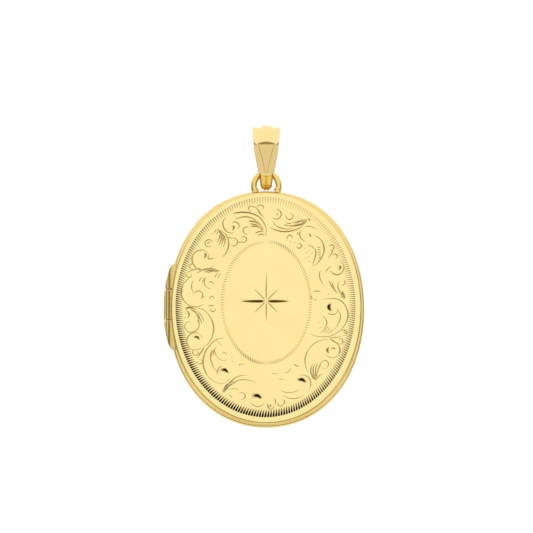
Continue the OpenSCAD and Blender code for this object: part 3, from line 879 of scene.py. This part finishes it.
def belt(r_top, r_low, z_from, count):
    """The side view of a strip round a top circle and leaning to a lower one: points
    [y, z], their normals, from z_from in front, over the top, to z_from behind."""
    lean = np.arcsin((r_top - r_low) / -eye_z)
    turn_a = np.linspace(np.pi - lean, lean, count)
    side = np.array([-np.sin(lean), -np.cos(lean)])
    run = (r_top * np.sin(lean) - z_from) / np.cos(lean)
    share = np.linspace(1, 0, count // 2, endpoint=False)[:, None]
    over = np.stack([r_top * np.cos(turn_a), r_top * np.sin(turn_a)], axis=-1)
    first = np.array([[-over[-1, 0], over[-1, 1]]])
    down = first + share * run * np.array([[-side[0], side[1]]])
    back = first * [[-1, 1]] + share[::-1] * run * side[None]
    normal = np.array([-np.cos(lean), np.sin(lean)])
    normals = np.concatenate([np.tile(normal, (len(down), 1)), over / r_top,
                              np.tile(normal * [-1, 1], (len(back), 1))])
    return np.concatenate([down, over, back]), normals


def leaf_half_width(z):
    """Half the leaf's width at height z: straight sides above the crease, a long
    taper of 9 degrees below it, and a round tip."""
    taper = np.radians(9)
    knee_z = tip_z + leaf_tip_r * (1 - np.sin(taper))
    knee_w = leaf_tip_r * np.cos(taper)
    tip = np.sqrt(np.clip(leaf_tip_r ** 2 - (z - tip_z - leaf_tip_r) ** 2, 1e-6, None))
    upper = crease_w / 2 + (top_w - crease_w) / 2 * (z - crease_z) / (top_z - crease_z)
    lower = knee_w + (crease_w / 2 - knee_w) * (z - knee_z) / (crease_z - knee_z)
    return np.where(z > crease_z, upper, np.where(z > knee_z, lower, tip))


belt_low_r = 1.57
path, path_out = belt(bail_r, belt_low_r, tip_z + 0.002, 180)
across = np.linspace(-1, 1, 61)[None]
z_path = path[:, 1][:, None]
half_path = leaf_half_width(z_path)
x_leaf = across * half_path
away = np.abs(across)

# The ribs: the middle one is 0.42 mm high and the two at the edges 0.26 mm, and all
# three fade out down to their foot
rib_h, edge_rib_h, rib_foot = 0.42, 0.26, 0.4
above = 1 / (1 + np.exp(-(z_path + rib_foot) / 0.06))
crown = np.clip((z_path + rib_foot) / 2.4, 0, 1) ** 0.7
rib = rib_h * np.cos(np.pi / 2 * np.clip((away - 0.1) / 0.52, 0, 1)) ** 2
rib = (rib + edge_rib_h * np.clip((away - 0.6) / 0.4, 0, 1) ** 2) * crown

# The crease: a nick with a Gauss curve's profile, which is broken near each edge
crease_h, nick_z, nick_w = 0.17, 0.6, 0.18
nicked = np.clip((0.68 - away) / 0.08, 0, 1) + 0.7 * np.clip((away - 0.84) / 0.1, 0, 1)
crease = crease_h * nicked * np.exp(-((z_path + nick_z) / nick_w) ** 2)

# The tips: a flat panel that narrows downwards, and a bevel from it to the edge with
# a small step between them
bevel_h, step_h, panel_w, panel_taper = 0.10, 0.05, 0.66, 0.105
panel_edge = panel_w - panel_taper * np.clip(-nick_z - z_path, 0, 5)
bevel = np.clip((away - panel_edge) / (1 - panel_edge), 0, 1)
below = np.clip((crease_z - z_path) / 0.3, 0, 1)
bevel *= 0.25 + 0.75 * np.clip((z_path - tip_z - 0.6) / 1.2, 0, 1)
rise = rib * above - (bevel_h * bevel + step_h * (bevel > 0)) * below - crease
eased_in = 0.06
outer = np.stack([x_leaf, path[:, 0][:, None] + rise * path_out[:, 0][:, None],
                  z_path + rise * path_out[:, 1][:, None]], axis=-1)
inner = np.stack([x_leaf * (1 - eased_in / np.maximum(half_path, 0.2)),
                  (path[:, 0] - bail_t * path_out[:, 0])[:, None] + 0 * x_leaf,
                  z_path - (bail_t * path_out[:, 1])[:, None] + 0 * x_leaf], axis=-1)
section = np.concatenate([outer, inner[:, ::-1]], axis=1)
leaf_mesh = surface("fluted_leaf", section, loop_u=False, loop_v=True, caps=True)

# Both tips hold a little of the polish, and a line of it stays round each panel
tip_tone, line_tone, line_w = 0.06, 0.04, 0.035
panel_line = np.exp(-((away - panel_edge) / line_w) ** 2)
satin = (tip_tone + line_tone * panel_line) * below * np.clip((z_path - tip_z) / 0.5, 0.5, 1)
satin = np.concatenate([satin, 0 * satin], axis=1)
leaf_mesh.attributes.new("cut", "FLOAT", "POINT").data.foreach_set("value", satin.ravel())
gold_bail = polished_gold("buffed_bail_gold", "#FBE7A6", "#F7DF98", 0.09, 0.5, residue="#B08A44")
finish_piece("fluted_leaf", leaf_mesh, "bail", gold_bail, ["bail_leaf"], sharp=32.0)

# ----------------------------------------------------------------- bail tongue
# A narrow strip bent into a loop hangs inside the leaf and holds the ring. Its
# front is grooved down the middle and its foot is rounded.
tongue_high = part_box("bail_tongue")[1][2] / mm
tongue_w, tongue_end_w, foot_from, foot_len = 2.36, 1.8, 0.72, 0.34
groove_h, groove_w, round_h, round_from, round_w = 0.10, 0.13, 0.16, 0.6, 0.4
strip_t = bail_t - 0.05
lean = np.arcsin((bail_r - bail_t - 0.02 - eye_r) / -eye_z)
foot_turn = np.linspace(np.pi + lean, 2 * np.pi - lean, 40)
foot_arc = np.stack([eye_r * np.cos(foot_turn), eye_z + eye_r * np.sin(foot_turn)], axis=-1)
rise_z = np.linspace(tongue_high, foot_arc[0, 1], 16, endpoint=False)
side_y = foot_arc[0, 0] - np.tan(lean) * (rise_z - foot_arc[0, 1])
front_side = np.stack([side_y, rise_z], axis=-1)
strip = np.concatenate([front_side, foot_arc, front_side[::-1] * [-1, 1]])
strip_out = np.gradient(strip, axis=0)
strip_out = np.stack([strip_out[:, 1], -strip_out[:, 0]], axis=-1)
strip_out /= np.linalg.norm(strip_out, axis=1, keepdims=True)
narrow_to = np.clip((tongue_high - strip[:, 1]) / (tongue_high - tongue_end), 0, 1)[:, None]
half = tongue_w / 2 + (tongue_end_w - tongue_w) / 2 * narrow_to
half *= np.sqrt(np.clip(1 - (np.clip(narrow_to - foot_from, 0, 1) / foot_len) ** 2, 0.1, 1))
side = np.linspace(-1, 1, 33)[None]
groove = groove_h * np.exp(-(side / groove_w) ** 2)
groove = groove + round_h * np.clip((np.abs(side) - round_from) / round_w, 0, 1) ** 2
outer = np.stack([side * half, strip[:, :1] - groove * strip_out[:, :1],
                  strip[:, 1:] - groove * strip_out[:, 1:]], axis=-1)
inner = np.stack([side * half, strip[:, :1] - strip_t * strip_out[:, :1] + 0 * side,
                  strip[:, 1:] - strip_t * strip_out[:, 1:] + 0 * side], axis=-1)
tongue_mesh = surface("ring_tongue", np.concatenate([outer, inner[:, ::-1]], axis=1),
                      loop_u=False, loop_v=True, caps=True)
gold_tongue = polished_gold("tumbled_tongue_gold", "#F0C860", "#E6B648", 0.2, 0.5)
finish_piece("ring_tongue", tongue_mesh, "bail", gold_tongue, ["bail_tongue"],
             sharp=50.0)

# ------------------------------------------------------------ inside of the case
# The lip, catch, plates, bearers and pin are left satin from the pickle bath; the
# two snap-in frames are buffed.


def keep_node(name, material, ease=0.04):
    """Gives a CAD piece its finish and eased edges."""
    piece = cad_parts[name]
    piece.data.materials.clear()
    piece.data.materials.append(material)
    if ease:
        bevel = piece.modifiers.new("eased_edges", "BEVEL")
        bevel.width = ease * mm
        bevel.segments = 2
        bevel.limit_method = "ANGLE"
        bevel.angle_limit = np.radians(50)


gold_satin = polished_gold("satin_gold", "#F0D48A", "#E7C777", 0.34, 1.0)
for name in ("lip_ring", "catch_bead", "back_inner_plate", "front_inner_plate",
             "hinge_bearer_back", "hinge_bearer_front", "hinge_pin"):
    keep_node(name, gold_satin, 0.03)
gold_frame = polished_gold("buffed_frame_gold", "#F8E098", "#F2D581", 0.14, 0.7)
for name in ("back_photo_frame", "front_photo_frame"):
    keep_node(name, gold_frame, 0.06)


def clear_sheet(name):
    """Clear acetate about 0.2 mm thick, faintly warm, with fine wiping marks."""
    material, tree, place = blank_material(name)
    haze = put(tree, "ShaderNodeTexNoise", Vector=place, Scale=1 / (1.5 * mm), Detail=4.0)
    rough = put(tree, "ShaderNodeMapRange", Value=haze.outputs["Fac"], To_Min=0.02, To_Max=0.12)
    veil = put(tree, "ShaderNodeMapRange", Value=haze.outputs["Fac"], To_Min=0.06, To_Max=0.14)
    tint = put(tree, "ShaderNodeMix", {"data_type": "RGBA"}, _0=haze.outputs["Fac"],
               _6=linear("#FFFEFA"), _7=linear("#F6F4EA")).outputs[2]
    shader = put(tree, "ShaderNodeBsdfPrincipled", Base_Color=tint, IOR=1.48,
                 Roughness=rough.outputs["Result"], Alpha=veil.outputs["Result"])
    put(tree, "ShaderNodeOutputMaterial", Surface=shader.outputs["BSDF"])
    return material


def paper_card(name):
    """Uncoated ivory card: fibres about 0.25 mm long and a soft unevenness of tone."""
    material, tree, place = blank_material(name)
    fibre = put(tree, "ShaderNodeTexNoise", Vector=place, Scale=1 / (0.25 * mm), Detail=6.0,
                Roughness=0.65)
    cloud = put(tree, "ShaderNodeTexNoise", Vector=place, Scale=1 / (6 * mm), Detail=2.0)
    tone = put(tree, "ShaderNodeMix", {"data_type": "RGBA"}, _0=cloud.outputs["Fac"],
               _6=linear("#FBF8F0"), _7=linear("#F2ECDF")).outputs[2]
    speck = put(tree, "ShaderNodeMix", {"data_type": "RGBA"}, _0=fibre.outputs["Fac"],
                _6=tone, _7=linear("#E8E1D2")).outputs[2]
    relief = put(tree, "ShaderNodeBump", Height=fibre.outputs["Fac"], Strength=0.5,
                 Distance=0.02 * mm)
    shader = put(tree, "ShaderNodeBsdfPrincipled", Base_Color=speck, Roughness=0.85,
                 Normal=relief.outputs["Normal"])
    put(tree, "ShaderNodeOutputMaterial", Surface=shader.outputs["BSDF"])
    return material


acetate = clear_sheet("clear_acetate")
card = paper_card("ivory_card")
for name in ("back_window", "front_window"):
    keep_node(name, acetate, 0)
for name in ("back_photo_card", "front_photo_card"):
    keep_node(name, card, 0)

# ------------------------------------------------------------- stage and lights
# A pale floor curves up into a backdrop under a bright sky, and five soft-edged
# gauzes hang out of view, below, beside and behind the case, for the polished gold
# to mirror.


def plain(name, colour, roughness, soft=False):
    """Matt paper or gauze with a mottle about 40 mm across. A soft gauze thins out to
    nothing where its soft attribute falls to nothing."""
    mottled = 0.985
    material, tree, place = blank_material(name)
    cloud = put(tree, "ShaderNodeTexNoise", Vector=place, Scale=1 / (40 * mm), Detail=2.0)
    red, green, blue, _ = linear(colour)
    tone = put(tree, "ShaderNodeMix", {"data_type": "RGBA"}, _0=cloud.outputs["Fac"],
               _6=linear(colour), _7=(mottled * red, mottled * green, mottled * blue, 1.0))
    finish = put(tree, "ShaderNodeBsdfPrincipled", Base_Color=tone.outputs[2],
                 Roughness=roughness).outputs["BSDF"]
    if soft:
        body = put(tree, "ShaderNodeAttribute", {"attribute_name": "soft"}).outputs["Fac"]
        gauze = put(tree, "ShaderNodeBsdfTransparent").outputs["BSDF"]
        finish = put(tree, "ShaderNodeMixShader", _0=body, _1=gauze, _2=finish).outputs[0]
    put(tree, "ShaderNodeOutputMaterial", Surface=finish)
    return material


bend_turn = np.radians(np.linspace(0, 90, 17))
floor_z, back_y, bend_r = -130.0, 420.0, 200.0
sweep_line = np.concatenate([
    [[-600.0, floor_z]],
    np.stack([back_y - bend_r + bend_r * np.sin(bend_turn),
              floor_z + bend_r * (1 - np.cos(bend_turn))], axis=-1),
    [[back_y, 900.0]]])
wide = np.array([-900.0, 900.0])[:, None]
floor_points = np.stack([wide + 0 * sweep_line[None, :, 0], sweep_line[None, :, 0] + 0 * wide,
                         sweep_line[None, :, 1] + 0 * wide], axis=-1)
floor_mesh = surface("pale_backdrop", floor_points, loop_u=False)
floor_mesh.shade_smooth()
floor_mesh.materials.append(plain("pale_paper", "#FFFFFF", 0.9))
backdrop = bpy.data.objects.new("pale_backdrop", floor_mesh)
bpy.context.collection.objects.link(backdrop)

dark = plain("dark_gauze", "#2B2618", 0.8, soft=True)
brown = plain("brown_gauze", "#968D78", 0.8, soft=True)
grey = plain("grey_gauze", "#55524B", 0.8, soft=True)
pale_grey = plain("pale_grey_gauze", "#8C887E", 0.8, soft=True)


def gauze_card(name, centre, width, height, material):
    """A flat gauze in mm that faces the middle of the case. It is solid over its own
    middle and fades as the root of a cosine to each edge."""
    aim = Vector(np.array([0.0, 0.0, case_z]) - np.array(centre)).normalized()
    card_turn = np.array(aim.to_track_quat("Z", "Y").to_matrix())
    x, y = np.meshgrid(np.linspace(-1, 1, 25), np.linspace(-1, 1, 25), indexing="ij")
    flat = np.stack([x * width / 2, y * height / 2, 0 * x], axis=-1)
    mesh = surface(name, flat @ card_turn.T + np.array(centre), loop_u=False)
    body = (np.cos(np.pi / 2 * x) * np.cos(np.pi / 2 * y)).clip(0, 1) ** 0.5
    mesh.attributes.new("soft", "FLOAT", "POINT").data.foreach_set("value", body.ravel())
    mesh.materials.append(material)
    item = bpy.data.objects.new(name, mesh)
    bpy.context.collection.objects.link(item)
    item.visible_shadow = False
    item.visible_camera = False
    item.visible_diffuse = False
    return item


cards = [gauze_card("card_below", (0.0, -60.0, floor_z + 18.0), 310.0, 130.0, brown)]
for side, beside in ((-1, grey), (1, pale_grey)):
    cards += [gauze_card("card_behind", (92.0 * side, 100.0, case_z), 72.0, 130.0, dark),
              gauze_card("card_side", (132.0 * side, -36.0, case_z), 168.0, 168.0, beside)]

world = bpy.data.worlds.new("bright_tent")
world.use_nodes = True
sky = world.node_tree
sky.nodes.clear()
air = put(sky, "ShaderNodeBackground", Color=(1.0, 1.0, 1.0, 1.0), Strength=1.04)
put(sky, "ShaderNodeOutputWorld", Surface=air.outputs["Background"])
bpy.context.scene.world = world

# A long lens stands 294 mm off and looks 7.5 degrees up at the case
camera_away, camera_tilt = 294.0, np.radians(-7.5)
camera_data = bpy.data.cameras.new("camera")
camera_data.lens = 120.0
camera_data.sensor_width = 36.0
camera = bpy.data.objects.new("camera", camera_data)
bpy.context.collection.objects.link(camera)
aim = np.array([0.04, 0.0, -20.7])
spot = aim + camera_away * np.array([0.0, -np.cos(camera_tilt), np.sin(camera_tilt)])
camera.location = Vector(spot * mm)
camera.rotation_euler = Vector(aim - spot).to_track_quat("-Z", "Y").to_euler()
bpy.context.scene.camera = camera
bpy.context.scene.view_settings.view_transform = "Standard"
